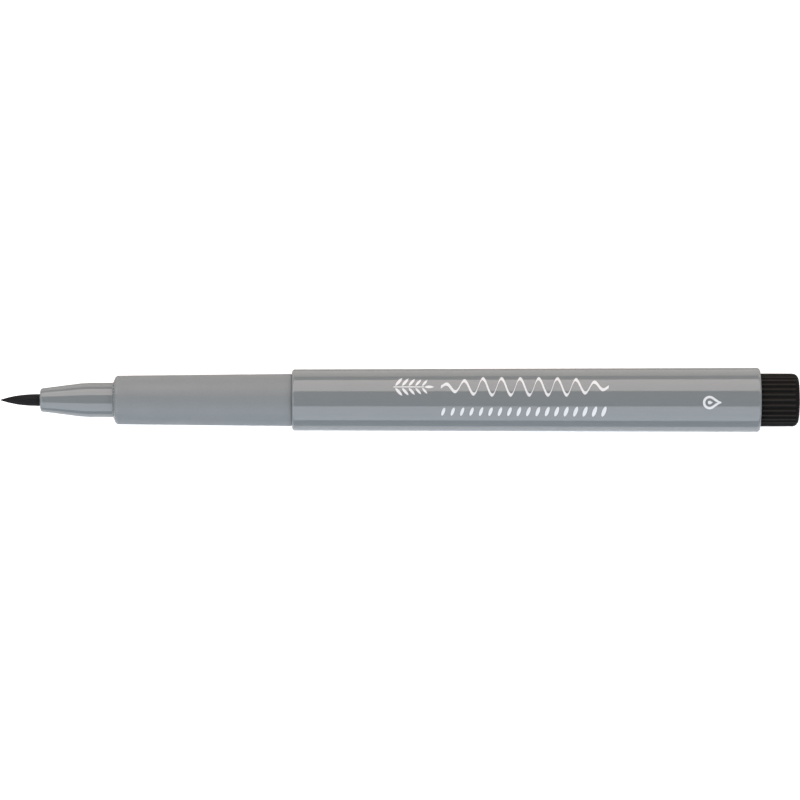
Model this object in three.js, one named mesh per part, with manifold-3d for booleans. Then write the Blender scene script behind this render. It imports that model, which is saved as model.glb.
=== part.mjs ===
// Brush-tip calligraphy marker, uncapped, lying on its side.
//
// Millimetres. The pen's axis runs along X, with the nib towards -X and the end plug towards +X,
// and +Z is up. The origin is under the middle of the pen's length, on the surface it lies on.
//
// Every round piece is turned with flat facets. A radius below is measured to the middle of a facet,
// so widths across the flats are the real diameters, and the pen lies on a facet of its barrel.

import * as THREE from 'three';
import { mergeVertices } from 'three/addons/utils/BufferGeometryUtils.js';
import Module from 'manifold-3d';

const wasm = await Module();
wasm.setup();

// ---------------------------------------------------------------- lengths along the pen

const NIB_OUT = 6.77;       // bare tip, from its point to the nose's mouth
const NOSE_TAPER = 7.57;    // conical part of the nose
const NOSE_BAND = 4.88;     // straight part of the nose
const GRIP_LENGTH = 30.12;  // grip section that shows
const BARREL_LENGTH = 79.02;
const PLUG_HEAD = 6.64;     // ribbed head of the plug that shows

const LENGTH = NIB_OUT + NOSE_TAPER + NOSE_BAND + GRIP_LENGTH + BARREL_LENGTH + PLUG_HEAD;

const X_POINT = -LENGTH / 2;
const X_MOUTH = X_POINT + NIB_OUT;
const X_BAND = X_MOUTH + NOSE_TAPER;
const X_GRIP = X_BAND + NOSE_BAND;
const X_BARREL = X_GRIP + GRIP_LENGTH;
const X_REAR = X_BARREL + BARREL_LENGTH;
const X_END = X_REAR + PLUG_HEAD;

// ---------------------------------------------------------------- outside radii

const NIB_R = 1.02;
const NOSE_FRONT_R = 1.97;
const NOSE_BAND_R = 2.92;
const GRIP_FRONT_R = 4.11;
const GRIP_REAR_R = 4.41;
const BARREL_FRONT_R = 5.18;
const BARREL_REAR_R = 5.43;
const PLUG_R = 4.49;
const AXIS_HEIGHT = BARREL_REAR_R;

const NOSE_EDGE = 0.45;     // edge roundings
const GRIP_EDGE = 0.95;
const BARREL_EDGE = 0.5;
const PLUG_EDGE = 1.1;

// ---------------------------------------------------------------- fits and walls

const FIT = 0.03;           // radial clearance of a piece that seats inside another
const SEAM = 0.14;          // width and depth of the open groove between the grip and the barrel
const MOUTH_SINK = 0.5;     // counterbore at each end of the barrel that takes its neighbour's shoulder
const END_GAP = 0.3;        // lengthwise clearance behind a shoulder or in a blind hole

// ---------------------------------------------------------------- nib

const TIP_FULLNESS = 2.4;   // how bluntly the tip's outline leaves its point
const TIP_STEPS = 9;
const FLEX_GAP = 0.1;       // between the tip's ball root and the shank's cup
const SHANK_LENGTH = 27;    // hidden length of the nib behind the mouth
const SHANK_CHAMFER = 0.3;

// ---------------------------------------------------------------- nose

const MOUTH_R = 1.15;       // wide enough for the tip to flex
const MOUTH_DEPTH = 1.7;
const GUIDE_R = 1.06;       // land that holds the nib's shank
const GUIDE_LENGTH = 9;
const NOSE_CAVITY_R = 2.05;
const NOSE_SPIGOT = 6;      // length seated in the grip

// ---------------------------------------------------------------- grip

const CHAMBER_R = 3.25;     // bore that the reservoir slides in
const GRIP_SPIGOT = 8;      // length seated in the barrel
const GRIP_SPIGOT_R = 4.05;
const LEAD_IN = 0.5;        // chamfer on each spigot's end

// ---------------------------------------------------------------- barrel

const BARREL_BORE_R = 4.3;
const RIB_COUNT = 6;        // inner ribs that centre the reservoir
const RIB_WIDTH = 0.6;
const RIB_ROOT = 0.3;       // how far a rib runs into the barrel's wall
const RIB_TIP_R = CHAMBER_R;

// ---------------------------------------------------------------- reservoir

const CORE_R = 3.02;
const FILM_INNER_R = 3.05;
const FILM_OUTER_R = 3.15;
const RESERVOIR_OVERHANG = 3.6;   // length of the reservoir that the plug's socket holds
const NIB_SOCKET_R = 1.1;
const NIB_SOCKET_SPARE = 0.8;
const CORE_CHAMFER = 0.25;
const BREATHER_R = 0.44;
const BREATHER_BORE_R = 0.24;
const BREATHER_PROUD = 0.15;      // how far it stands out of the reservoir's front
const GROOVE_R = 0.5;
const GROOVE_SINK = 0.45;         // how far the groove's middle lies inside the fibre's surface
const GROOVE_OFFSET = CORE_R - GROOVE_SINK;

// ---------------------------------------------------------------- end plug

const PLUG_SPIGOT = 8;
const PLUG_SPIGOT_R = 4.1;
const BEAD_R = BARREL_BORE_R - FIT;
const BEAD_LENGTH = 1;            // snap beads that hold the plug in the bore
const BEAD_SLOPE = 0.3;
const BEAD_PLACES = [0.25, 0.625];   // as shares of the spigot's length
const SOCKET_R = FILM_OUTER_R + FIT;
const CORING_R = 2.6;
const PLUG_END_WALL = 1.5;
const PLUG_RIBS = 30;
const PLUG_RIB_DEPTH = 0.16;
const PLUG_RIB_RUNOUT = 0.15;     // length over which the ribs rise out of the smooth collar
const DOME_R = 2.4;               // flat middle of the end face
const DOME_DROP = 0.1;

// ---------------------------------------------------------------- facets

const FLATS = 32;
const SMALL_FLATS = 12;
const ARC_STEPS = 6;
const EDGE_STEPS = 4;             // steps across an edge rounding
const OVERCUT = 1;                // how far a cutting shape runs past what it cuts
const MERGE = 1e-5;               // points closer than this are one

// ---------------------------------------------------------------- solids

function toManifold(geometry) {
  const bare = geometry.clone();
  bare.deleteAttribute('normal');
  bare.deleteAttribute('uv');
  const merged = mergeVertices(bare, MERGE);
  const triangles = [];
  const corners = merged.index.array;
  for (let i = 0; i < corners.length; i += 3) {
    const [a, b, c] = corners.slice(i, i + 3);
    if (a !== b && b !== c && c !== a) triangles.push(a, b, c);
  }
  return new wasm.Manifold(new wasm.Mesh({
    numProp: 3,
    vertProperties: new Float32Array(merged.attributes.position.array),
    triVerts: new Uint32Array(triangles),
  }));
}

function toGeometry(solid) {
  const mesh = solid.getMesh();
  const geometry = new THREE.BufferGeometry();
  geometry.setAttribute('position', new THREE.BufferAttribute(mesh.vertProperties, 3));
  geometry.setIndex(new THREE.BufferAttribute(mesh.triVerts, 1));
  geometry.computeVertexNormals();
  return geometry;
}

// Turns an outline of [x, radius] points about the pen's axis. The outline runs clockwise when x is
// to the right and the radius is up, and either starts and ends on the axis or closes on itself.
function turned(outline, flats = FLATS) {
  const toCorner = 1 / Math.cos(Math.PI / flats);
  const points = outline.map(([x, r]) => new THREE.Vector2(r * toCorner, x));
  const lathe = new THREE.LatheGeometry(points, flats, Math.PI / flats);
  lathe.rotateZ(-Math.PI / 2);
  return lathe;
}

// A hollow piece: its outer outline from front to rear, then its bore from rear to front.
function turnedTube(outer, bore, flats = FLATS) {
  const outline = [...outer, ...bore];
  return turned([...outline, outline[0]], flats);
}

// Points of an arc in the [x, radius] plane. Angles are in degrees from the +X direction.
function arc(x, r, radius, from, to, steps = ARC_STEPS) {
  return Array.from({ length: steps + 1 }, (_, i) => {
    const angle = THREE.MathUtils.degToRad(from + (to - from) * i / steps);
    return [x + radius * Math.cos(angle), r + radius * Math.sin(angle)];
  });
}

// ---------------------------------------------------------------- nib pieces

function brushTip() {
  const outline = [[X_POINT, 0]];
  for (let i = 1; i <= TIP_STEPS; i += 1) {
    const t = i / TIP_STEPS;
    outline.push([X_POINT + NIB_OUT * t, NIB_R * (1 - (1 - t) ** TIP_FULLNESS)]);
  }
  const ball = arc(X_MOUTH, 0, NIB_R, 90, 0).slice(1);
  ball.at(-1)[1] = 0;
  return turned([...outline, ...ball]);
}

function brushShank() {
  const cupR = NIB_R + FLEX_GAP;
  const rim = THREE.MathUtils.radToDeg(Math.asin(NIB_R / cupR));
  const cup = arc(X_MOUTH, 0, cupR, 0, rim);
  cup[0][1] = 0;
  const end = X_MOUTH + SHANK_LENGTH;
  return turned([
    ...cup,
    [end - SHANK_CHAMFER, NIB_R],
    [end, NIB_R - SHANK_CHAMFER],
    [end, 0],
  ]);
}

// ---------------------------------------------------------------- housing pieces

function noseCone() {
  const end = X_GRIP + NOSE_SPIGOT;
  const guideFront = X_MOUTH + MOUTH_DEPTH;
  const guideRear = guideFront + GUIDE_LENGTH;
  const funnel = MOUTH_R - GUIDE_R;
  const outer = [
    ...arc(X_MOUTH + NOSE_EDGE, NOSE_FRONT_R - NOSE_EDGE, NOSE_EDGE, 180, 90, EDGE_STEPS),
    [X_BAND, NOSE_BAND_R],
    [end - LEAD_IN, NOSE_BAND_R],
    [end, NOSE_BAND_R - LEAD_IN / 2],
  ];
  const bore = [
    [end, NOSE_CAVITY_R],
    [guideRear + NOSE_CAVITY_R - GUIDE_R, NOSE_CAVITY_R],
    [guideRear, GUIDE_R],
    [guideFront + funnel, GUIDE_R],
    [guideFront, MOUTH_R],
    [X_MOUTH, MOUTH_R],
  ];
  return turnedTube(outer, bore);
}

function gripSection() {
  const end = X_BARREL + GRIP_SPIGOT;
  const step = X_GRIP + NOSE_SPIGOT + END_GAP;
  const shoulder = X_BARREL + MOUTH_SINK - FIT;
  const outer = [
    ...arc(X_GRIP + GRIP_EDGE, GRIP_FRONT_R - GRIP_EDGE, GRIP_EDGE, 180, 90, EDGE_STEPS),
    [X_BARREL - SEAM, GRIP_REAR_R],
    [X_BARREL - SEAM, GRIP_REAR_R - SEAM],
    [X_BARREL, GRIP_REAR_R - SEAM],
    [X_BARREL, GRIP_REAR_R],
    [shoulder, GRIP_REAR_R],
    [shoulder, GRIP_SPIGOT_R],
    [end - LEAD_IN, GRIP_SPIGOT_R],
    [end, GRIP_SPIGOT_R - LEAD_IN / 2],
  ];
  const bore = [
    [end, CHAMBER_R],
    [step, CHAMBER_R],
    [step, NOSE_BAND_R + FIT],
    [X_GRIP, NOSE_BAND_R + FIT],
  ];
  return turnedTube(outer, bore);
}

function barrel() {
  const seat = X_BARREL + GRIP_SPIGOT + END_GAP;
  const outer = [
    ...arc(X_BARREL + BARREL_EDGE, BARREL_FRONT_R - BARREL_EDGE, BARREL_EDGE, 180, 90, EDGE_STEPS),
    ...arc(X_REAR - BARREL_EDGE, BARREL_REAR_R - BARREL_EDGE, BARREL_EDGE, 90, 0, EDGE_STEPS),
  ];
  const bore = [
    [X_REAR, PLUG_R + FIT],
    [X_REAR - MOUTH_SINK, PLUG_R + FIT],
    [X_REAR - MOUTH_SINK, BARREL_BORE_R],
    [seat + BARREL_BORE_R - GRIP_SPIGOT_R, BARREL_BORE_R],
    [seat, GRIP_SPIGOT_R + FIT],
    [X_BARREL + MOUTH_SINK, GRIP_SPIGOT_R + FIT],
    [X_BARREL + MOUTH_SINK, GRIP_REAR_R + FIT],
    [X_BARREL, GRIP_REAR_R + FIT],
  ];
  const ribFront = seat + 2 * END_GAP;
  const ribRear = X_REAR - PLUG_SPIGOT - END_GAP;
  const ribHeight = BARREL_BORE_R + RIB_ROOT - RIB_TIP_R;
  let solid = toManifold(turnedTube(outer, bore));
  for (let i = 0; i < RIB_COUNT; i += 1) {
    const rib = new THREE.BoxGeometry(ribRear - ribFront, RIB_WIDTH, ribHeight);
    rib.translate((ribFront + ribRear) / 2, 0, RIB_TIP_R + ribHeight / 2);
    rib.rotateX(2 * Math.PI * i / RIB_COUNT);
    solid = solid.add(toManifold(rib));
  }
  return toGeometry(solid);
}

// ---------------------------------------------------------------- reservoir pieces

const X_CORE_FRONT = X_GRIP + NOSE_SPIGOT + 2 * END_GAP;
const X_CORE_REAR = X_REAR - PLUG_SPIGOT + RESERVOIR_OVERHANG;

function reservoirCore() {
  const socketEnd = X_MOUTH + SHANK_LENGTH + NIB_SOCKET_SPARE;
  const body = turned([
    [socketEnd, 0],
    [socketEnd, NIB_SOCKET_R],
    [X_CORE_FRONT, NIB_SOCKET_R],
    [X_CORE_FRONT, CORE_R - CORE_CHAMFER],
    [X_CORE_FRONT + CORE_CHAMFER, CORE_R],
    [X_CORE_REAR - CORE_CHAMFER, CORE_R],
    [X_CORE_REAR, CORE_R - CORE_CHAMFER],
    [X_CORE_REAR, 0],
  ]);
  const groove = turned([
    [X_CORE_FRONT - OVERCUT, 0],
    [X_CORE_FRONT - OVERCUT, GROOVE_R],
    [X_CORE_REAR + OVERCUT, GROOVE_R],
    [X_CORE_REAR + OVERCUT, 0],
  ], SMALL_FLATS);
  groove.translate(0, 0, GROOVE_OFFSET);
  return toGeometry(toManifold(body).subtract(toManifold(groove)));
}

function reservoirFilm() {
  return turnedTube(
    [[X_CORE_FRONT, FILM_OUTER_R], [X_CORE_REAR, FILM_OUTER_R]],
    [[X_CORE_REAR, FILM_INNER_R], [X_CORE_FRONT, FILM_INNER_R]],
  );
}

function breatherTube() {
  const front = X_CORE_FRONT - BREATHER_PROUD;
  const rear = X_CORE_REAR - END_GAP;
  const tube = turnedTube(
    [[front, BREATHER_R], [rear, BREATHER_R]],
    [[rear, BREATHER_BORE_R], [front, BREATHER_BORE_R]],
    SMALL_FLATS,
  );
  tube.translate(0, 0, GROOVE_OFFSET);
  return tube;
}

// ---------------------------------------------------------------- end plug

// The head starts with a smooth collar that sinks into the barrel's mouth.
function plugHeadOutline() {
  const shoulder = X_REAR - MOUTH_SINK + FIT;
  return [
    [shoulder, 0],
    [shoulder, PLUG_R],
    [X_REAR, PLUG_R],
    [X_REAR + PLUG_RIB_RUNOUT, PLUG_R],
    ...arc(X_END - DOME_DROP - PLUG_EDGE, PLUG_R - PLUG_EDGE, PLUG_EDGE, 90, 0),
    [X_END, DOME_R],
    [X_END, 0],
  ];
}

// Lengthwise ribs: every other edge of the head's side is pulled in, and a rib is left facing up.
function ribbedHead() {
  const head = turned(plugHeadOutline(), 2 * PLUG_RIBS);
  const position = head.attributes.position;
  for (let i = 0; i < position.count; i += 1) {
    const y = position.getY(i);
    const z = position.getZ(i);
    const edge = Math.round(Math.atan2(z, y) / Math.PI * PLUG_RIBS + 0.5);
    const r = Math.hypot(y, z);
    const onSide = position.getX(i) > X_REAR + FIT && r > PLUG_R - PLUG_EDGE / 2;
    if (edge % 2 === 0 && onSide) {
      const scale = 1 - PLUG_RIB_DEPTH / r;
      position.setY(i, y * scale);
      position.setZ(i, z * scale);
    }
  }
  return head.rotateX(Math.PI / PLUG_RIBS / 2);
}

function endPlug() {
  const front = X_REAR - PLUG_SPIGOT;
  const socketEnd = X_CORE_REAR + END_GAP;
  const beads = BEAD_PLACES.map((share) => front + share * PLUG_SPIGOT).flatMap((x) => [
    [x - BEAD_SLOPE, PLUG_SPIGOT_R],
    [x, BEAD_R],
    [x + BEAD_LENGTH, BEAD_R],
    [x + BEAD_LENGTH + BEAD_SLOPE, PLUG_SPIGOT_R],
  ]);
  const joinX = X_REAR + PLUG_EDGE;
  const spigot = turned([
    [front, 0],
    [front, PLUG_SPIGOT_R - LEAD_IN / 2],
    [front + LEAD_IN, PLUG_SPIGOT_R],
    ...beads,
    [joinX, PLUG_SPIGOT_R],
    [joinX, 0],
  ]);
  const hollow = turned([
    [front - OVERCUT, 0],
    [front - OVERCUT, SOCKET_R],
    [socketEnd, SOCKET_R],
    [socketEnd, CORING_R],
    [X_END - PLUG_END_WALL, CORING_R],
    [X_END - PLUG_END_WALL, 0],
  ]);
  const solid = toManifold(ribbedHead()).add(toManifold(spigot));
  return toGeometry(solid.subtract(toManifold(hollow)));
}

// ---------------------------------------------------------------- finishes

const GLOSS_GREY = { color: 0x8d9092, roughness: 0.12, metalness: 0 };
const MATT_GREY = { color: 0x8a8d8f, roughness: 0.55, metalness: 0 };
const BLACK_PLASTIC = { color: 0x1b1b1a, roughness: 0.35, metalness: 0 };
const INKED_FIBRE = { color: 0x121213, roughness: 0.8, metalness: 0 };
const WHITE_PLASTIC = { color: 0xe8e8e4, roughness: 0.4, metalness: 0 };
const CLEAR_FILM = { color: 0xd9dde0, roughness: 0.1, metalness: 0, transparent: true, opacity: 0.4 };

const PIECES = [
  ['brush_tip', brushTip(), INKED_FIBRE],
  ['brush_shank', brushShank(), INKED_FIBRE],
  ['nose_cone', noseCone(), GLOSS_GREY],
  ['grip_section', gripSection(), MATT_GREY],
  ['barrel', barrel(), GLOSS_GREY],
  ['reservoir_core', reservoirCore(), INKED_FIBRE],
  ['reservoir_film', reservoirFilm(), CLEAR_FILM],
  ['breather_tube', breatherTube(), WHITE_PLASTIC],
  ['end_plug', endPlug(), BLACK_PLASTIC],
];

const marker = new THREE.Group();
marker.position.z = AXIS_HEIGHT;
for (const [name, geometry, finish] of PIECES) {
  const mesh = new THREE.Mesh(geometry, new THREE.MeshStandardMaterial(finish));
  mesh.name = name;
  marker.add(mesh);
}

export default marker;
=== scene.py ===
import math
from contextlib import contextmanager
from itertools import pairwise

import bmesh
import bpy
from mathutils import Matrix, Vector


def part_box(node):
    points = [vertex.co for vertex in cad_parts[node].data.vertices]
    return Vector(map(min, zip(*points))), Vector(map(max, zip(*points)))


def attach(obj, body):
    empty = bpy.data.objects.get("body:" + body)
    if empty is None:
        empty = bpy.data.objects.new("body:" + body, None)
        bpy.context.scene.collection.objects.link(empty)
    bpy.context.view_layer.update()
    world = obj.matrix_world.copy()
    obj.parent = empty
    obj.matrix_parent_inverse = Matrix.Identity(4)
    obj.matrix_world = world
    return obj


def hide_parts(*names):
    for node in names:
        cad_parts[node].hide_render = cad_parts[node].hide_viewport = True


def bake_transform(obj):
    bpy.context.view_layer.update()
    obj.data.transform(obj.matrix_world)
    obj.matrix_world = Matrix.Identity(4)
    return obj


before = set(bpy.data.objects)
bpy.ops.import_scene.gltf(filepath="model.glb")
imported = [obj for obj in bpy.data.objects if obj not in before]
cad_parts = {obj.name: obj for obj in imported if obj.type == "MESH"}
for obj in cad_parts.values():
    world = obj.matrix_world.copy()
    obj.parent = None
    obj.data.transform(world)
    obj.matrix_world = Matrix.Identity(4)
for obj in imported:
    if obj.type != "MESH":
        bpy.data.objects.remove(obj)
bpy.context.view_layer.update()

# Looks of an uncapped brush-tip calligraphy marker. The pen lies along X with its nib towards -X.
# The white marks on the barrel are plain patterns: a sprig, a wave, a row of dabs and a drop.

MM = 0.001

# ------------------------------------------------------------------ places and radii of the frame


def ends(node):
    """The two ends of a frame node along the pen."""
    low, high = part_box(node)
    return low.x, high.x


def half_width(node):
    """The radius of a frame node round its own axis."""
    low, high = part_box(node)
    return (high.y - low.y) / 2


X_POINT = ends("brush_tip")[0]
X_SHANK_END = ends("brush_shank")[1]
X_MOUTH, X_NOSE_END = ends("nose_cone")
X_GRIP, X_GRIP_END = ends("grip_section")
X_BARREL, X_REAR = ends("barrel")
X_PLUG, X_END = ends("end_plug")
X_CORE, X_CORE_END = ends("reservoir_core")
X_TUBE, X_TUBE_END = ends("breather_tube")

NIB_R = half_width("brush_shank")
NOSE_R = half_width("nose_cone")
GRIP_R = half_width("grip_section")
BARREL_R = half_width("barrel")
PLUG_R = half_width("end_plug")
CORE_R = half_width("reservoir_core")
FILM_R = half_width("reservoir_film")
TUBE_R = half_width("breather_tube")

AXIS_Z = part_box("barrel")[1].z / 2
PEN_AXIS = Vector((0, 0, AXIS_Z))
TUBE_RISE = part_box("breather_tube")[1].z - TUBE_R - AXIS_Z   # breather tube's height over the axis
ALONG = (1, 0, 0)

# ------------------------------------------------------------------ sizes of the finer shapes

NOSE_FRONT_R = 1.97 * MM
NOSE_TAPER = 7.57 * MM         # length of the conical part
GRIP_FRONT_R = 4.11 * MM
BARREL_FRONT_R = 5.18 * MM

FIT = 0.03 * MM                # clearance round a piece that seats in another
END_GAP = 0.3 * MM             # clearance behind it
SINK = 0.5 * MM                # depth of the counterbore at each end of the barrel
CHAMBER_R = 3.25 * MM          # bore that the reservoir slides in
SPIGOT_R = 4.05 * MM           # grip's rear spigot
BARREL_BORE_R = 4.3 * MM
LEAD_IN = 0.5 * MM             # length of a spigot's chamfer
ROOT_FILLET = 0.28 * MM        # nose's fillet against the grip's front face

STEPS = 192                    # facets round a turned piece
SMALL_STEPS = 72
EDGE_SEGMENTS = 7              # facets across a rounded edge
FINE_SEGMENTS = 3              # and across one that is only just broken
MERGE = 0.002 * MM             # points closer than this are one
NEAR = 0.012 * MM              # how closely a picked part has to lie to its place

# ------------------------------------------------------------------ bench tools


@contextmanager
def editing(piece):
    bpy.ops.object.select_all(action="DESELECT")
    bpy.context.view_layer.objects.active = piece
    piece.select_set(True)
    bpy.ops.object.mode_set(mode="EDIT")
    yield
    bpy.ops.object.mode_set(mode="OBJECT")


def pick(piece, kind, wanted):
    """In edit mode, selects only the parts whose middle passes a test.

    kind is VERT, EDGE or FACE.
    """
    bpy.ops.mesh.select_mode(type=kind)
    bpy.ops.mesh.select_all(action="DESELECT")
    shape = bmesh.from_edit_mesh(piece.data)
    parts = {"VERT": shape.verts, "EDGE": shape.edges, "FACE": shape.faces}[kind]
    found = 0
    for part in parts:
        corners = [part] if kind == "VERT" else part.verts
        middle = sum((corner.co for corner in corners), Vector()) / len(corners)
        if wanted(middle):
            part.select_set(True)
            found += 1
    bmesh.update_edit_mesh(piece.data)
    if not found:
        raise ValueError(f"nothing to pick on {piece.name}")


def radius(at):
    """Distance of a point from the pen's axis."""
    return math.hypot(at.y, at.z - AXIS_Z)


def turn_angle(at):
    """Angle of a point round the pen's axis, from straight up."""
    return math.atan2(at.y, at.z - AXIS_Z)


def add_point(name, x, r):
    """A new object that is one vertex, above the pen's axis."""
    bpy.ops.object.select_all(action="DESELECT")
    bpy.ops.mesh.primitive_plane_add(size=MM, location=PEN_AXIS + Vector((x, 0, r)))
    bpy.ops.object.transform_apply()
    piece = bpy.context.object
    piece.name = piece.data.name = name
    bpy.ops.object.mode_set(mode="EDIT")
    bpy.ops.mesh.merge(type="CENTER")
    bpy.ops.object.mode_set(mode="OBJECT")
    return piece


def turn(name, outline, steps=STEPS, angle=2 * math.pi):
    """Draws half a section, as points of (x, radius), and spins it round the pen's axis."""
    piece = add_point(name, *outline[0])
    with editing(piece):
        bpy.ops.mesh.select_all(action="SELECT")
        for (x0, r0), (x1, r1) in pairwise(outline):
            bpy.ops.mesh.extrude_vertices_move(
                TRANSFORM_OT_translate={"value": (x1 - x0, 0, r1 - r0)})
        bpy.ops.mesh.select_all(action="SELECT")
        bpy.ops.mesh.spin(steps=steps, angle=angle, center=PEN_AXIS, axis=ALONG)
        close_up()
    return piece


def close_up():
    """In edit mode, merges doubled points and turns the faces outwards."""
    bpy.ops.mesh.select_all(action="SELECT")
    bpy.ops.mesh.remove_doubles(threshold=MERGE)
    bpy.ops.mesh.normals_make_consistent(inside=False)


def arc(x, r, bend, start, end, steps):
    """Outline points along a round edge about (x, r). Angles are in degrees from +X."""
    turns = [math.radians(start + (end - start) * i / steps) for i in range(steps + 1)]
    return [(x + bend * math.cos(a), r + bend * math.sin(a)) for a in turns]


def round_ring(piece, x, r, width, segments=EDGE_SEGMENTS):
    """Rounds the ring edge at that place."""
    with editing(piece):
        pick(piece, "EDGE", lambda at: abs(at.x - x) < NEAR and abs(radius(at) - r) < NEAR)
        bpy.ops.mesh.bevel(offset=width, segments=segments, profile=0.5, affect="EDGES",
                           clamp_overlap=False)


def apply_modifier(piece, kind, **settings):
    modifier = piece.modifiers.new(kind.lower(), kind)
    for key, value in settings.items():
        setattr(modifier, key, value)
    bpy.ops.object.select_all(action="DESELECT")
    bpy.context.view_layer.objects.active = piece
    piece.select_set(True)
    bpy.ops.object.modifier_apply(modifier=modifier.name)


def smooth(piece, angle=35):
    """Smooth shading that keeps long faces true beside their rounded edges."""
    bpy.ops.object.select_all(action="DESELECT")
    bpy.context.view_layer.objects.active = piece
    piece.select_set(True)
    bpy.ops.object.shade_smooth_by_angle(angle=math.radians(angle))
    apply_modifier(piece, "WEIGHTED_NORMAL", keep_sharp=True)


# ------------------------------------------------------------------ finishes


class Reading:
    """A value or colour in a finish's nodes. Sums on it add Math nodes."""

    def __init__(self, finish, socket):
        self.finish = finish
        self.socket = socket

    def math(self, operation, *values):
        return self.finish.node("Math", {"operation": operation}, dict(enumerate(values)))

    def __add__(self, other):
        return self.math("ADD", self, other)

    def __sub__(self, other):
        return self.math("SUBTRACT", self, other)

    def __rsub__(self, other):
        return self.math("SUBTRACT", other, self)

    def __mul__(self, other):
        return self.math("MULTIPLY", self, other)

    def __truediv__(self, other):
        return self.math("DIVIDE", self, other)

    __radd__ = __add__
    __rmul__ = __mul__

    def rise(self, low, high):
        """0 below low and 1 above high, with a soft step in between."""
        return self.finish.node("MapRange", {"interpolation_type": "SMOOTHSTEP"},
                                {"Value": self, "From Min": low, "From Max": high})

    def close_to(self, place, reach):
        """1 at that place, falling to 0 at that distance from it."""
        return 1 - self.math("ABSOLUTE", self - place).rise(0, reach)


class Finish:
    """A piece's material: one shader, and the nodes that vary it over the surface."""

    def __init__(self, name, **constants):
        self.material = bpy.data.materials.new(name)
        self.material.use_nodes = True
        self.tree = self.material.node_tree
        self.shader = self.tree.nodes["Principled BSDF"]
        for socket, value in constants.items():
            self.feed(self.shader.inputs[socket.replace("_", " ")], value)

    def feed(self, socket, value):
        if isinstance(value, Reading):
            self.tree.links.new(value.socket, socket)
        elif isinstance(value, tuple) and socket.type == "RGBA":
            socket.default_value = (*value, 1)
        else:
            socket.default_value = value

    def node(self, kind, settings=None, values=None, output=0):
        node = self.tree.nodes.new("ShaderNode" + kind)
        for name, setting in (settings or {}).items():
            setattr(node, name, setting)
        for name, value in (values or {}).items():
            self.feed(node.inputs[name], value)
        return Reading(self, node.outputs[output])

    def spot(self, size=1, stretch=(1, 1, 1)):
        """Place on the piece, in steps of that many millimetres, with its axes stretched."""
        place = self.node("TexCoord", output="Object")
        step = size * MM
        scale = tuple(1 / (step * longer) for longer in stretch)
        return self.node("Mapping", values={"Vector": place, "Scale": scale})

    def grain(self, size, detail=2.0, stretch=(1, 1, 1), place=None):
        """Soft noise from 0 to 1, with patches of about that many millimetres."""
        place = place or self.spot(size, stretch)
        return self.node("TexNoise", values={"Vector": place, "Scale": 1.0, "Detail": detail})

    def cells(self, size, stretch=(1, 1, 1)):
        """Distance to the middle of the nearest cell, in cells of about that many millimetres."""
        return self.node("TexVoronoi", values={"Vector": self.spot(size, stretch), "Scale": 1.0},
                         output="Distance")

    def along(self):
        """Millimetres along the pen."""
        return self.node("SeparateXYZ", values={"Vector": self.spot()}, output="X")

    def off_axis(self):
        """The vector from the pen's axis, in millimetres."""
        out = self.node("VectorMath", {"operation": "SUBTRACT"},
                        {0: self.spot(), 1: (0, 0, AXIS_Z / MM)})
        return self.node("VectorMath", {"operation": "MULTIPLY"}, {0: out, 1: (0, 1, 1)})

    def out(self):
        """Millimetres out from the pen's axis."""
        return self.node("VectorMath", {"operation": "LENGTH"}, {0: self.off_axis()},
                         output="Value")

    def strands(self, count, length):
        """Noise in strands that run along the pen and draw together where it narrows."""
        round_it = self.node("VectorMath", {"operation": "NORMALIZE"}, {0: self.off_axis()})
        around = self.node("VectorMath", {"operation": "SCALE"}, {0: round_it, "Scale": count / 6})
        lengthwise = self.node("CombineXYZ", values={"X": self.along() / length})
        place = self.node("VectorMath", {"operation": "ADD"}, {0: around, 1: lengthwise})
        return self.grain(1, place=place)

    def mix(self, share, first, second):
        """A colour between two others."""
        return self.node("Mix", {"data_type": "RGBA"}, {0: share, 6: first, 7: second}, output=2)

    def bump(self, height, depth, strength, under=None):
        """Relief whose height of 1 stands that many millimetres out."""
        values = {"Height": height, "Distance": depth * MM, "Strength": strength}
        if under:
            values["Normal"] = under
        return self.node("Bump", values=values)

    def wear(self, color, roughness, relief, alpha=1.0):
        """Joins what varies over the surface to the shader."""
        sockets = {"Base Color": color, "Roughness": roughness, "Normal": relief, "Alpha": alpha}
        for name, value in sockets.items():
            self.feed(self.shader.inputs[name], value)
        return self.material


GREY = (0.1176, 0.1309, 0.1357)


def tint(color, share):
    """The same colour, lighter or darker by that share."""
    return tuple(part * (1 + share) for part in color)


def polished_grey():
    """Gloss moulded plastic: draw lines along the pen, hairline scratches, rubbed rims."""
    finish = Finish("polished_grey_plastic", IOR=1.5)
    mottle = finish.grain(3.5, detail=3)
    smear = finish.grain(2.2, detail=3, stretch=(5, 1, 1))
    draw_lines = finish.grain(0.12, detail=1, stretch=(120, 1, 1))
    scratched = finish.grain(0.05, detail=1, stretch=(90, 1, 1)).rise(0.74, 0.78)
    scratched = scratched * finish.grain(4).rise(0.5, 0.62)
    station = finish.along()
    rims = sum(station.close_to(x / MM, 0.7) for x in (X_BARREL, X_REAR, X_MOUTH))
    rubbed = rims * finish.grain(0.3, detail=3).rise(0.45, 0.7)
    color = finish.mix(mottle, tint(GREY, -0.025), tint(GREY, 0.025))
    color = finish.mix(rubbed * 0.5, color, tint(GREY, 0.3))
    color = finish.mix(scratched * 0.25, color, tint(GREY, 0.4))
    roughness = 0.075 + smear * 0.03 + draw_lines * 0.02 + rubbed * 0.12 + scratched * 0.2
    relief = finish.bump(finish.grain(1.6, detail=1), 0.004, 0.5)
    relief = finish.bump(draw_lines - scratched, 0.0006, 0.5, under=relief)
    return finish.wear(color, roughness, relief)


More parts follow.
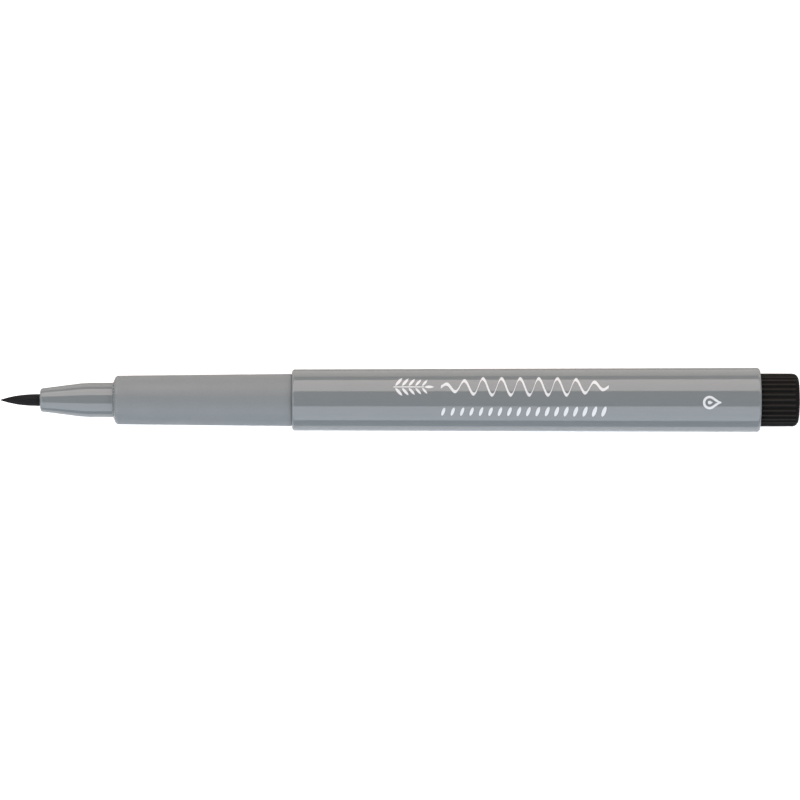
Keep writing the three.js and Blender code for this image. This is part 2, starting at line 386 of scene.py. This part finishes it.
def grip_grey():
    """Spark-eroded grip: fine even pitting with painted shade in the pits, a little smoother where
    fingers hold it.
    """
    finish = Finish("grained_grey_plastic", IOR=1.5)
    pits = finish.cells(0.16)
    dust = finish.grain(0.07, detail=3)
    mottle = finish.grain(2.5, detail=4)
    held = finish.along().close_to(X_GRIP / MM + 9, 14) * finish.grain(5, detail=2).rise(0.35, 0.7)
    rim = finish.along().close_to(X_GRIP / MM, 1.1).rise(0.1, 0.6)
    color = finish.mix(mottle, tint(GREY, 0.01), tint(GREY, 0.08))
    # Darker colour in the pits' hollows, where the bump sinks: painted shade.
    color = finish.mix(pits.rise(0.3, 0.8) * 0.5, color, tint(GREY, -0.06))
    roughness = 0.5 + pits * 0.12 + dust * 0.06 - held * 0.08 - rim * 0.34
    relief = finish.bump(dust, 0.006, 0.6)
    relief = finish.bump(1 - pits, 0.012, 0.7, under=relief)
    return finish.wear(color, roughness, relief)


def plug_black():
    """Satin black plastic: rib crests polished by handling, dull grooves with a trace of dust; the
    crests' lighter colour is a painted highlight and the grooves' darker colour is painted shade.
    """
    black = (0.006, 0.0055, 0.0046)
    finish = Finish("satin_black_plastic", Specular_IOR_Level=0.09)
    crest_polish_and_highlight = finish.out().rise(PLUG_R / MM - 0.13, PLUG_R / MM)
    dust = finish.grain(0.35, detail=4).rise(0.5, 0.75)
    fine = finish.grain(0.06, detail=2, stretch=(6, 1, 1))
    # Crests painted lighter and grooves painted darker: a painted highlight on the ribs and painted
    # shade in the grooves.
    color = finish.mix(crest_polish_and_highlight, tint(black, -0.85), tint(black, 0.8))
    color = finish.mix((1 - crest_polish_and_highlight) * dust * 0.05, color, (0.05, 0.047, 0.042))
    roughness = 0.62 - crest_polish_and_highlight * 0.24 + fine * 0.08 + dust * 0.05
    relief = finish.bump(fine, 0.004, 0.6)
    relief = finish.bump(finish.grain(1.1, detail=2), 0.006, 0.5, under=relief)
    return finish.wear(color, roughness, relief)


def nib_black():
    """Brush nib: ink-soaked fibre strands that draw together at the point."""
    finish = Finish("inked_brush_fibre", Specular_IOR_Level=0.08)
    strands = finish.strands(150, 3.0)
    hairs = finish.strands(420, 1.2)
    damp = finish.grain(0.9, detail=3, stretch=(3, 1, 1))
    color = finish.mix(strands.rise(0.35, 0.7), (0.004, 0.004, 0.0044), (0.0125, 0.0125, 0.0135))
    roughness = 0.72 - damp * 0.2 + hairs * 0.12
    relief = finish.bump(hairs, 0.012, 0.7)
    relief = finish.bump(strands, 0.02, 0.8, under=relief)
    return finish.wear(color, roughness, relief)


def reservoir_fibre():
    """Loose bonded fibre: dark with ink towards the nib, greyer where it has drained."""
    finish = Finish("reservoir_fibre", Specular_IOR_Level=0.2)
    strands = finish.strands(220, 4.0)
    ends_of_fibres = finish.cells(0.12, stretch=(8, 1, 1))
    drained = (finish.along() / 90 + 0.3 + finish.grain(6, detail=3) * 0.4).rise(0.3, 1.2)
    wet = finish.mix(strands, (0.016, 0.016, 0.019), (0.034, 0.034, 0.038))
    dry = finish.mix(strands, (0.07, 0.072, 0.08), (0.13, 0.13, 0.14))
    color = finish.mix(drained * 0.6, wet, dry)
    color = finish.mix(ends_of_fibres.rise(0.4, 0.8) * 0.5, color, (0.01, 0.01, 0.012))
    roughness = 0.7 + strands * 0.2
    relief = finish.bump(ends_of_fibres + strands, 0.03, 0.8)
    return finish.wear(color, roughness, relief)


def clear_film():
    """Thin clear wrap, drawn tight, with long wrinkles and a few ink smears inside."""
    finish = Finish("clear_film", IOR=1.45)
    wrinkle = finish.grain(0.6, detail=2, stretch=(14, 1, 1))
    smear = finish.grain(1.8, detail=3, stretch=(4, 1, 1)).rise(0.5, 0.75)
    color = finish.mix(smear * 0.7, (0.72, 0.75, 0.78), (0.1, 0.1, 0.12))
    return finish.wear(color, 0.08 + wrinkle * 0.12, finish.bump(wrinkle, 0.03, 0.7),
                       alpha=0.1 + wrinkle * 0.1 + smear * 0.2)


def tube_white():
    """Extruded white plastic with faint die lines and a touch of ink at its front end."""
    finish = Finish("extruded_white_plastic", IOR=1.49)
    die_lines = finish.grain(0.08, detail=1, stretch=(200, 1, 1))
    station = finish.along()
    inky = station.close_to(X_TUBE / MM, 5) * finish.grain(0.5, detail=3, stretch=(3, 1, 1))
    color = finish.mix(finish.grain(3, detail=2), (0.74, 0.74, 0.7), (0.82, 0.82, 0.79))
    color = finish.mix(inky * 0.8, color, (0.03, 0.03, 0.035))
    return finish.wear(color, 0.3 + die_lines * 0.15, finish.bump(die_lines, 0.002, 0.6))


def print_white():
    """Pad-print ink: opaque white with pinholes and a softly uneven skin."""
    finish = Finish("white_pad_print", IOR=1.48)
    pinhole = 1 - finish.cells(0.22).rise(0.05, 0.13)
    pinhole = pinhole * finish.grain(1.2, detail=2).rise(0.55, 0.7)
    skin = finish.grain(0.12, detail=3)
    color = finish.mix(finish.grain(1.5, detail=3), (0.402, 0.419, 0.433), (0.459, 0.468, 0.476))
    color = finish.mix(pinhole * 0.5, color, GREY)
    return finish.wear(color, 0.38 + skin * 0.15, finish.bump(skin - pinhole, 0.003, 0.6))


def mount(piece, body, finish, slot, *nodes):
    """Gives a finished piece its material, and the body and frame nodes it goes with. slot is not
    used.
    """
    piece.data.materials.clear()
    piece.data.materials.append(finish)
    if body:
        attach(piece, body)
    if nodes:
        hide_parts(*nodes)
    return piece


# ------------------------------------------------------------------ housing


def make_nose():
    mouth = 1.15 * MM
    mouth_depth = 1.7 * MM
    guide = 1.06 * MM                       # land that holds the nib
    guide_length = 9 * MM
    cavity = 2.05 * MM
    front_edge = 0.45 * MM
    mouth_edge = 0.07 * MM
    shoulder_blend = 1.2 * MM               # between the cone and the straight collar
    guide_front = X_MOUTH + mouth_depth
    guide_end = guide_front + guide_length
    stop = X_GRIP - 0.01 * MM               # where the fillet ends, just off the grip's face
    nose = turn("nose_shell", [
        (X_MOUTH, mouth),
        (X_MOUTH, NOSE_FRONT_R),
        (X_MOUTH + NOSE_TAPER, NOSE_R),
        *arc(stop - ROOT_FILLET, NOSE_R + ROOT_FILLET, ROOT_FILLET, -90, 0, steps=6),
        (stop, NOSE_R),
        (X_NOSE_END - LEAD_IN, NOSE_R),
        (X_NOSE_END, NOSE_R - LEAD_IN / 2),
        (X_NOSE_END, cavity),
        (guide_end + cavity - guide, cavity),
        (guide_end, guide),
        (guide_front + mouth - guide, guide),
        (guide_front, mouth),
        (X_MOUTH, mouth),
    ])
    round_ring(nose, X_MOUTH, NOSE_FRONT_R, front_edge)
    round_ring(nose, X_MOUTH, mouth, mouth_edge, segments=FINE_SEGMENTS)
    round_ring(nose, X_MOUTH + NOSE_TAPER, NOSE_R, shoulder_blend)
    smooth(nose)
    return nose


def make_grip():
    face_slope = 0.4 * MM                   # how far the front face leans back
    seam = 0.1 * MM                         # open groove before the barrel
    front_edge = 0.36 * MM
    socket_edge = 0.12 * MM
    seam_edge = 0.04 * MM
    step = X_NOSE_END + END_GAP
    socket = NOSE_R + FIT
    shoulder = X_BARREL + SINK - FIT
    grip = turn("grip_sleeve", [
        (X_GRIP, socket),
        (X_GRIP, NOSE_R + ROOT_FILLET + FIT),
        (X_GRIP + face_slope, GRIP_FRONT_R),
        (X_BARREL - seam, GRIP_R),
        (X_BARREL - seam, GRIP_R - seam),
        (X_BARREL, GRIP_R - seam),
        (X_BARREL, GRIP_R),
        (shoulder, GRIP_R),
        (shoulder, SPIGOT_R),
        (X_GRIP_END - LEAD_IN, SPIGOT_R),
        (X_GRIP_END, SPIGOT_R - LEAD_IN / 2),
        (X_GRIP_END, CHAMBER_R),
        (step, CHAMBER_R),
        (step, socket),
        (X_GRIP, socket),
    ])
    round_ring(grip, X_GRIP + face_slope, GRIP_FRONT_R, front_edge)
    round_ring(grip, X_GRIP, socket, socket_edge, segments=FINE_SEGMENTS)
    round_ring(grip, X_BARREL - seam, GRIP_R, seam_edge, segments=FINE_SEGMENTS)
    smooth(grip)
    return grip


def make_barrel():
    ribs = 6
    rib_half_angle = math.radians(3.8)
    front_edge = 0.45 * MM
    rear_edge = 0.5 * MM
    mouth_edge = 0.06 * MM
    front_mouth = GRIP_R + FIT
    rear_mouth = PLUG_R + FIT
    seat = SPIGOT_R + FIT
    seat_end = X_GRIP_END + END_GAP
    rib_front = seat_end + 2 * END_GAP
    rib_rear = X_PLUG - END_GAP
    barrel = turn("barrel_shell", [
        (X_BARREL, front_mouth),
        (X_BARREL, BARREL_FRONT_R),
        (X_REAR, BARREL_R),
        (X_REAR, rear_mouth),
        (X_REAR - SINK, rear_mouth),
        (X_REAR - SINK, BARREL_BORE_R),
        (rib_rear, BARREL_BORE_R),
        (rib_front, BARREL_BORE_R),
        (seat_end + BARREL_BORE_R - seat, BARREL_BORE_R),
        (seat_end, seat),
        (X_BARREL + SINK, seat),
        (X_BARREL + SINK, front_mouth),
        (X_BARREL, front_mouth),
    ])
    round_ring(barrel, X_BARREL, BARREL_FRONT_R, front_edge)
    round_ring(barrel, X_REAR, BARREL_R, rear_edge)
    round_ring(barrel, X_BARREL, front_mouth, mouth_edge, segments=FINE_SEGMENTS)
    round_ring(barrel, X_REAR, rear_mouth, mouth_edge, segments=FINE_SEGMENTS)

    def rib_root(at):
        off_rib = (turn_angle(at) + math.pi / ribs) % (2 * math.pi / ribs) - math.pi / ribs
        on_bore = abs(radius(at) - BARREL_BORE_R) < NEAR
        return on_bore and rib_front < at.x < rib_rear and abs(off_rib) < rib_half_angle

    with editing(barrel):
        pick(barrel, "FACE", rib_root)
        bpy.ops.mesh.extrude_region_move()
        inwards = CHAMBER_R / BARREL_BORE_R
        bpy.ops.transform.resize(value=(1, inwards, inwards), center_override=PEN_AXIS)
    smooth(barrel)
    return barrel


# ------------------------------------------------------------------ nib and reservoir


def make_nib():
    fullness = 2.45                         # how bluntly the outline leaves the point
    steps = 28
    crowding = 1.5                          # draws those steps together at the point
    out = X_MOUTH - X_POINT
    chamfer = 0.3 * MM
    blunt = 0.06 * MM                       # radius of the very point
    outline = [(X_POINT, 0), (X_POINT, blunt / 2)]
    for i in range(1, steps + 1):
        t = (i / steps) ** crowding
        body = NIB_R * (1 - (1 - t) ** fullness)
        outline.append((X_POINT + out * t, body + blunt * (1 - body / NIB_R)))
    outline += [
        (X_SHANK_END - chamfer, NIB_R),
        (X_SHANK_END, NIB_R - chamfer),
        (X_SHANK_END, 0),
    ]
    nib = turn("fibre_nib", outline, steps=STEPS // 2)
    smooth(nib, angle=30)
    return nib


def lifted_bar(name, x_front, x_rear, r, bore=0.0):
    """A straight bar or tube that lies where the breather tube does."""
    chamfer = 0.04 * MM if bore else 0.0
    outline = [
        (x_front, bore),
        (x_front, r - chamfer),
        (x_front + chamfer, r),
        (x_rear - chamfer, r),
        (x_rear, r - chamfer),
        (x_rear, bore),
    ]
    if bore:
        outline.append(outline[0])
    bar = turn(name, outline, steps=SMALL_STEPS // 2)
    with editing(bar):
        bpy.ops.mesh.select_all(action="SELECT")
        bpy.ops.transform.translate(value=(0, 0, TUBE_RISE))
    return bar


def make_core():
    socket = 1.1 * MM
    socket_room = 0.8 * MM                  # left behind the nib's shank
    socket_end = X_SHANK_END + socket_room
    groove = 0.5 * MM
    edge = 0.25 * MM
    edge_segments = 4
    core = turn("reservoir_wick", [
        (socket_end, 0),
        (socket_end, socket),
        (X_CORE, socket),
        (X_CORE, CORE_R),
        (X_CORE_END, CORE_R),
        (X_CORE_END, 0),
    ], steps=SMALL_STEPS)
    round_ring(core, X_CORE, CORE_R, edge, edge_segments)
    round_ring(core, X_CORE_END, CORE_R, edge, edge_segments)
    cutter = lifted_bar("groove_cutter", X_CORE - MM, X_CORE_END + MM, groove)
    apply_modifier(core, "BOOLEAN", operation="DIFFERENCE", solver="EXACT", object=cutter)
    bpy.data.objects.remove(cutter)
    with editing(core):
        close_up()
    smooth(core)
    return core


def make_film():
    inner = CORE_R + FIT
    lap = 0.02 * MM                         # thickness of the film's lengthwise overlap
    half_lap = math.radians(14)
    film = turn("wick_film", [
        (X_CORE, inner),
        (X_CORE, FILM_R),
        (X_CORE_END, FILM_R),
        (X_CORE_END, inner),
        (X_CORE, inner),
    ], steps=SMALL_STEPS)

    def under_side(at):
        off_down = math.pi - abs(turn_angle(at))
        return abs(radius(at) - FILM_R) < NEAR and off_down < half_lap

    with editing(film):
        pick(film, "FACE", under_side)
        bpy.ops.mesh.extrude_region_move()
        outwards = 1 + lap / FILM_R
        bpy.ops.transform.resize(value=(1, outwards, outwards), center_override=PEN_AXIS)
    smooth(film)
    return film


def make_breather():
    bore = 0.24 * MM
    tube = lifted_bar("breather_straw", X_TUBE, X_TUBE_END, TUBE_R, bore)
    smooth(tube)
    return tube


# ------------------------------------------------------------------ end plug


def plug_outline():
    """Half the plug's section: ribbed head, spigot with two snap beads, socket, cored-out head."""
    corner = 1.1 * MM
    dome_r = 2.4 * MM                       # flat middle of the end face
    dome_drop = 0.1 * MM
    gate_r = 0.45 * MM                      # moulding gate's dimple
    gate_depth = 0.1 * MM
    gate_floor = 0.7                        # its flat floor, as a share of its radius
    collar = 0.12 * MM                      # smooth ring before the ribs
    spigot = 4.1 * MM
    bead = BARREL_BORE_R - FIT
    bead_length = 1 * MM
    slope = 0.3 * MM
    wall = 1.5 * MM
    socket = FILM_R + FIT
    coring = 2.6 * MM
    socket_end = X_CORE_END + END_GAP
    shoulder = X_REAR - SINK + FIT
    length = X_REAR - X_PLUG
    outline = [
        (X_END - gate_depth, 0),
        (X_END - gate_depth, gate_r * gate_floor),
        (X_END, gate_r),
        (X_END, dome_r),
        *arc(X_END - dome_drop - corner, PLUG_R - corner, corner, 0, 90, steps=10),
        (X_REAR + collar, PLUG_R),
        (X_REAR, PLUG_R),
        (shoulder, PLUG_R),
        (shoulder, spigot),
    ]
    for share in (0.75, 0.375):             # the beads' places along the spigot
        middle = X_REAR - length * (1 - share) + bead_length / 2
        rear, front = middle + bead_length / 2, middle - bead_length / 2
        outline += [(rear + slope, spigot), (rear, bead), (front, bead), (front - slope, spigot)]
    outline += [
        (X_PLUG + LEAD_IN, spigot),
        (X_PLUG, spigot - LEAD_IN / 2),
        (X_PLUG, socket),
        (socket_end, socket),
        (socket_end, coring),
        (X_END - wall, coring),
        (X_END - wall, 0),
    ]
    return outline


def make_plug():
    """Models one rib's wedge of the plug, presses its groove, and copies it right round."""
    ribs = 30
    depth = 0.24 * MM
    groove_shape = 0.8                      # under 1, the groove is wider than the rib's crest
    columns = 12
    wedge = 2 * math.pi / ribs
    plug = turn("plug_cap", plug_outline(), steps=columns, angle=wedge)
    rings = sorted({round(v.co.x / NEAR) * NEAR for v in plug.data.vertices
                    if v.co.x > X_REAR + NEAR and radius(v.co) > PLUG_R - 2 * depth})
    with editing(plug):
        for column in range(1, columns):
            share = (1 - math.cos(2 * math.pi * column / columns)) / 2
            floor = PLUG_R - depth * share ** groove_shape
            turned = wedge * column / columns

            def at_column(at):
                return (abs(abs(turn_angle(at)) - turned) < wedge / columns / 4
                        and at.x > X_REAR + NEAR and radius(at) > floor + MERGE)

            for x in rings:
                press_ring(plug, x, floor, at_column)
        bpy.ops.mesh.select_all(action="SELECT")
        bpy.ops.mesh.spin(steps=ribs, dupli=True, angle=2 * math.pi, center=PEN_AXIS, axis=ALONG)
        close_up()
    smooth(plug, angle=50)
    return plug


def press_ring(plug, x, floor, at_column):
    """Moves the groove's points at one station in to the groove's floor."""
    shape = bmesh.from_edit_mesh(plug.data)
    found = [v.co for v in shape.verts if abs(v.co.x - x) < NEAR and at_column(v.co)]
    if not found:
        return
    inwards = floor / radius(found[0])
    pick(plug, "VERT", lambda at: abs(at.x - x) < NEAR and at_column(at))
    bpy.ops.transform.resize(value=(1, inwards, inwards), center_override=PEN_AXIS)


# ------------------------------------------------------------------ white marks on the barrel

PRINT_Z = AXIS_Z + BARREL_R + MM            # height at which the marks are drawn, over the barrel
PRINT_START = X_BARREL + 17.1 * MM
TOP_LINE_Y = 2.2 * MM
LOW_LINE_Y = -1.95 * MM


def flat_circle(name, x, y, r, corners=32):
    bpy.ops.object.select_all(action="DESELECT")
    bpy.ops.mesh.primitive_circle_add(vertices=corners, radius=r, fill_type="NGON",
                                      location=(x, y, PRINT_Z))
    bpy.ops.object.transform_apply()
    piece = bpy.context.object
    piece.name = piece.data.name = name
    return piece


def wrap(piece, barrel):
    """Lays a flat mark on the barrel, in narrow strips, and gives it the ink's thickness."""
    strip = 0.2 * MM
    ink = 0.024 * MM
    across = [v.co.y for v in piece.data.vertices]
    low, high = min(across), max(across)
    with editing(piece):
        for i in range(1, int((high - low) / strip) + 1):
            bpy.ops.mesh.select_all(action="SELECT")
            bpy.ops.mesh.bisect(plane_co=(0, low + i * strip, 0), plane_no=(0, 1, 0))
    apply_modifier(piece, "SHRINKWRAP", target=barrel, wrap_method="PROJECT", use_project_z=True,
                   use_negative_direction=True, use_positive_direction=False)
    apply_modifier(piece, "SOLIDIFY", thickness=ink, offset=0)
    smooth(piece, angle=50)
    return piece


def print_sprig():
    """A sprig: a stem, pairs of leaves that shorten along it, and an end leaf."""
    length = 6.9 * MM
    leaf = 0.86 * MM                        # half a leaf's length
    leaf_flat = (0.8, 0.25, 1)              # how the circle is drawn in, before its points go out
    leaf_point = 0.2                        # length of each point, as a share of that
    pairs = 5
    pitch = length / (pairs + 1.1)
    first_pair = 0.15                       # in pitches from the start
    leaf_foot = 0.16 * MM                   # from the stem's middle
    first_size, size_step = 1.12, 0.07
    lean = math.radians(48)
    middle = (PRINT_START, TOP_LINE_Y, 0)
    sprig = flat_circle("sprig_print", PRINT_START, TOP_LINE_Y, leaf)
    with editing(sprig):
        bpy.ops.mesh.select_all(action="SELECT")
        bpy.ops.transform.resize(value=leaf_flat, center_override=middle)
        for side in (-1, 1):
            end = PRINT_START + side * leaf * leaf_flat[0]
            pick(sprig, "VERT", lambda at: abs(at.x - end) < NEAR)
            bpy.ops.transform.translate(value=(side * leaf * leaf_point, 0, 0))
        bpy.ops.mesh.select_mode(type="FACE")
        bpy.ops.mesh.select_all(action="SELECT")
        bpy.ops.transform.translate(value=(length - leaf, 0, 0))
    root = PRINT_START + length - 2 * leaf
    with editing(sprig):
        for i in range(pairs):
            place = PRINT_START + pitch * (i + first_pair)
            foot = (place, TOP_LINE_Y, 0)
            size = first_size - size_step * i
            for side in (-1, 1):
                pick(sprig, "FACE", lambda at: at.x > root and abs(at.y - TOP_LINE_Y) < NEAR)
                bpy.ops.mesh.duplicate_move(
                    TRANSFORM_OT_translate={"value": (place - root, 0, 0)})
                bpy.ops.transform.resize(value=(size, size, 1), center_override=foot)
                bpy.ops.transform.translate(value=(leaf_foot, 0, 0))
                bpy.ops.transform.rotate(value=-side * lean, orient_axis="Z", center_override=foot)
    return add_stem(sprig, PRINT_START, root - NEAR)


def add_stem(sprig, x_from, x_to):
    """Stretches a small circle into the stem, and joins it to the leaves."""
    width = 0.16 * MM
    middle = (x_from + x_to) / 2
    stem = flat_circle("stem", middle, TOP_LINE_Y, width / 2, corners=16)
    with editing(stem):
        for side in (-1, 1):
            pick(stem, "VERT", lambda at: side * (at.x - middle) > NEAR / 4)
            bpy.ops.transform.translate(value=(side * (x_to - x_from - width) / 2, 0, 0))
    bpy.ops.object.select_all(action="DESELECT")
    stem.select_set(True)
    sprig.select_set(True)
    bpy.context.view_layer.objects.active = sprig
    bpy.ops.object.join()
    return sprig


def print_wave():
    """A broad edge, held at one slant, drawn along a wave: thin upstrokes, thick downstrokes."""
    start = PRINT_START + 8.0 * MM
    length = 28.2 * MM
    waves = 9
    height = 1.4 * MM
    edge = 0.54 * MM
    slant = math.radians(79)
    swelling = 4                            # the first and last of that many parts swell and fade
    steps_per_wave = 16
    steps = waves * steps_per_wave
    tip = Vector((math.cos(slant), math.sin(slant), 0)) * edge / 2

    def stroke(i):
        share = i / steps
        inside = 0 < share < 1
        swell = min(1, swelling * share, swelling * (1 - share)) ** 0.5 if inside else 0
        return Vector((start + length * share, TOP_LINE_Y
                       + height * swell * math.sin(2 * math.pi * waves * share), PRINT_Z))

    bpy.ops.object.select_all(action="DESELECT")
    bpy.ops.mesh.primitive_plane_add(size=MM, location=stroke(0) - tip)
    bpy.ops.object.transform_apply()
    wave = bpy.context.object
    wave.name = wave.data.name = "wave_print"
    with editing(wave):
        bpy.ops.mesh.merge(type="CENTER")
        bpy.ops.mesh.extrude_vertices_move(TRANSFORM_OT_translate={"value": 2 * tip})
        bpy.ops.mesh.select_all(action="SELECT")
        for i in range(steps):
            move = stroke(i + 1) - stroke(i)
            bpy.ops.mesh.extrude_edges_move(TRANSFORM_OT_translate={"value": move})
        face_up()
    return wave


def face_up():
    """In edit mode, turns every face of a flat mark towards +Z."""
    bpy.ops.mesh.select_all(action="SELECT")
    bpy.ops.mesh.normals_make_consistent(inside=False)
    shape = bmesh.from_edit_mesh(bpy.context.object.data)
    if sum(face.normal.z for face in shape.faces) < 0:
        bpy.ops.mesh.flip_normals()


def print_dabs():
    """A row of slanted brush dabs that grow along it."""
    count = 18
    start = PRINT_START + 8.4 * MM
    length = 27.0 * MM
    small, large = 0.7 * MM, 0.9 * MM       # half a dab's length
    width = 0.36                            # as a share of its length
    slant = math.radians(20)
    growth = (large / small) ** (1 / (count - 1))
    pitch = length / (count - 1)
    dabs = flat_circle("dab_print", start, LOW_LINE_Y, small, corners=28)
    with editing(dabs):
        bpy.ops.mesh.select_all(action="SELECT")
        foot = (start, LOW_LINE_Y, 0)
        bpy.ops.transform.resize(value=(width, 1, 1), center_override=foot)
        bpy.ops.transform.rotate(value=slant, orient_axis="Z", center_override=foot)
        for i in range(1, count):
            bpy.ops.mesh.duplicate_move(TRANSFORM_OT_translate={"value": (pitch, 0, 0)})
            bpy.ops.transform.resize(value=(growth, growth, 1),
                                     center_override=(start + i * pitch, LOW_LINE_Y, 0))
    return dabs


def print_drop():
    """An outlined ink drop near the rear, with a smaller drop in it."""
    r = 1.13 * MM
    line = 0.4 * MM
    x = X_REAR - 8.8 * MM                   # middle of the drop's round end
    y = -0.43 * MM
    narrowing = 0.72                        # of the tip, at each of its steps
    step_out = 0.22 * MM
    small_drop = 0.42                       # as a share of the outline's inside
    middle = (x, y, 0)
    drop = flat_circle("drop_print", x, y, r, corners=36)
    with editing(drop):
        for reach in (0.55, 0.75, 0.9, 0.975):
            pick(drop, "VERT", lambda at: at.x - x > r * reach)
            bpy.ops.transform.resize(value=(1, narrowing, 1), center_override=middle)
            bpy.ops.transform.translate(value=(step_out, 0, 0))
        bpy.ops.mesh.select_mode(type="FACE")
        bpy.ops.mesh.select_all(action="SELECT")
        bpy.ops.mesh.inset(thickness=MERGE)
        inner = 1 - line / r
        bpy.ops.transform.resize(value=(inner, inner, 1), center_override=middle)
        bpy.ops.mesh.split()
        bpy.ops.transform.resize(value=(small_drop, small_drop, 1), center_override=middle)
    return drop


# ------------------------------------------------------------------ assembly

grey_gloss = polished_grey()
white_ink = print_white()

barrel_shell = mount(make_barrel(), "housing", grey_gloss, "gloss_grey", "barrel")
mount(make_nose(), "housing", grey_gloss, "gloss_grey", "nose_cone")
mount(make_grip(), "housing", grip_grey(), "matt_grey", "grip_section")
mount(make_plug(), "plug", plug_black(), "black_plastic", "end_plug")
mount(make_core(), "reservoir", reservoir_fibre(), "reservoir_fibre", "reservoir_core")
mount(make_film(), "reservoir", clear_film(), "clear_film", "reservoir_film")
mount(make_breather(), "reservoir", tube_white(), "white_plastic", "breather_tube")

fibre_nib = mount(make_nib(), None, nib_black(), "inked_fibre", "brush_tip", "brush_shank")
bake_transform(fibre_nib)

for draw_mark in (print_sprig, print_wave, print_dabs, print_drop):
    mount(wrap(draw_mark(), barrel_shell), "housing", white_ink, "white_plastic")

# ------------------------------------------------------------------ studio


def plain(name, color, glow=0.0):
    finish = Finish(name, Base_Color=color, Roughness=0.9, Specular_IOR_Level=0.0,
                    Emission_Color=(1.0, 1.0, 1.0), Emission_Strength=glow)
    return finish.material


def place_light(name, aim, distance):
    """A light that hangs at that distance from the pen's middle and points at it."""
    bpy.ops.object.select_all(action="DESELECT")
    bpy.ops.object.light_add(type="AREA", location=PEN_AXIS + aim * distance)
    lamp = bpy.context.object
    lamp.name = name
    lamp.rotation_euler = aim.to_track_quat("Z", "Y").to_euler()
    lamp.visible_camera = False
    return lamp


def softbox(name, side, near, far, radiance, color):
    """A long softbox over the pen, seen from it between two angles from straight up."""
    distance = 0.6
    length = 3.4 * distance
    middle = math.radians((near + far) / 2)
    spread = math.radians((far - near) / 2)
    lamp = place_light(name, Vector((0, side * math.sin(middle), math.cos(middle))), distance)
    lamp.data.shape = "RECTANGLE"
    lamp.data.size = length
    lamp.data.size_y = 2 * distance * math.tan(spread)
    lamp.data.energy = radiance * math.pi * lamp.data.size * lamp.data.size_y
    lamp.data.color = color


def end_light(name, side, radiance):
    """A square softbox past one end of the pen, that lights its turned edges."""
    distance = 0.9
    width = 0.4
    slope = math.radians(52)
    lamp = place_light(name, Vector((side * math.sin(slope), 0, math.cos(slope))), distance)
    lamp.data.size = width
    lamp.data.energy = radiance * math.pi * width ** 2


def flat_stage(name, height, size, y, material):
    """A level sheet of the stage, of that length and width."""
    bpy.ops.object.select_all(action="DESELECT")
    bpy.ops.mesh.primitive_plane_add(size=1, location=(0, y, height))
    sheet = bpy.context.object
    sheet.name = name
    sheet.scale = (*size, 1)
    sheet.data.materials.append(material)
    return sheet


def card(name, near, far, color):
    """A card beside the pen, between two distances from it, that only its reflections see."""
    length = 0.6
    lift = 0.02 * MM
    sheet = flat_stage(name, lift, (length, abs(far - near)), (near + far) / 2,
                       plain(name, color))
    sheet.visible_camera = sheet.visible_diffuse = False
    sheet.visible_shadow = sheet.visible_transmission = False


def light_studio():
    softbox("warm_softbox", 1, 33, 80, 3.78, (1.0, 0.897, 0.857))
    softbox("cool_softbox", -1, 23.5, 81.5, 3.0, (0.893, 0.93, 1.0))
    end_light("nib_end_light", -1, 3.0)
    end_light("plug_end_light", 1, 1.0)
    table_drop = 0.01 * MM                  # keeps the pen's lowest line off the table
    flat_stage("white_table", -table_drop, (3, 3), 0,
               plain("white_paper", (0.8, 0.8, 0.8), glow=0.35))
    near_edge, card_end = -23 * MM, 600 * MM
    floor_shadow_edge, warm_edge = 10.8 * MM, 60 * MM
    card("near_card", near_edge, -card_end, (0.17, 0.18, 0.2))
    card("far_card", warm_edge, card_end, (0.01, 0.01, 0.01))
    card("near_pale_card", 0, near_edge, (0.95, 0.95, 0.95))
    # Grey sheet beside the pen that only reflections see: painted shade standing in for the floor's
    # contact shadow.
    card("far_floor_shadow_card", 0, floor_shadow_edge, (0.42, 0.41, 0.4))
    card("far_warm_card", floor_shadow_edge, warm_edge, (0.8, 0.76, 0.7))
    room = 0.17
    world = bpy.data.worlds.new("studio")
    world.use_nodes = True
    world.node_tree.nodes["Background"].inputs["Color"].default_value = (room, room, room, 1)
    bpy.context.scene.world = world
    bpy.context.scene.view_settings.view_transform = "Standard"


def set_camera():
    """Straight down on the pen, which fills the picture's width."""
    height = 0.8
    view_width = 135.24 * MM
    middle = 0.069 * MM
    bpy.ops.object.camera_add(location=(middle, 0, AXIS_Z + height), rotation=(0, 0, 0))
    camera = bpy.context.object
    camera.data.lens = camera.data.sensor_width * height / view_width
    bpy.context.scene.camera = camera


light_studio()
set_camera()
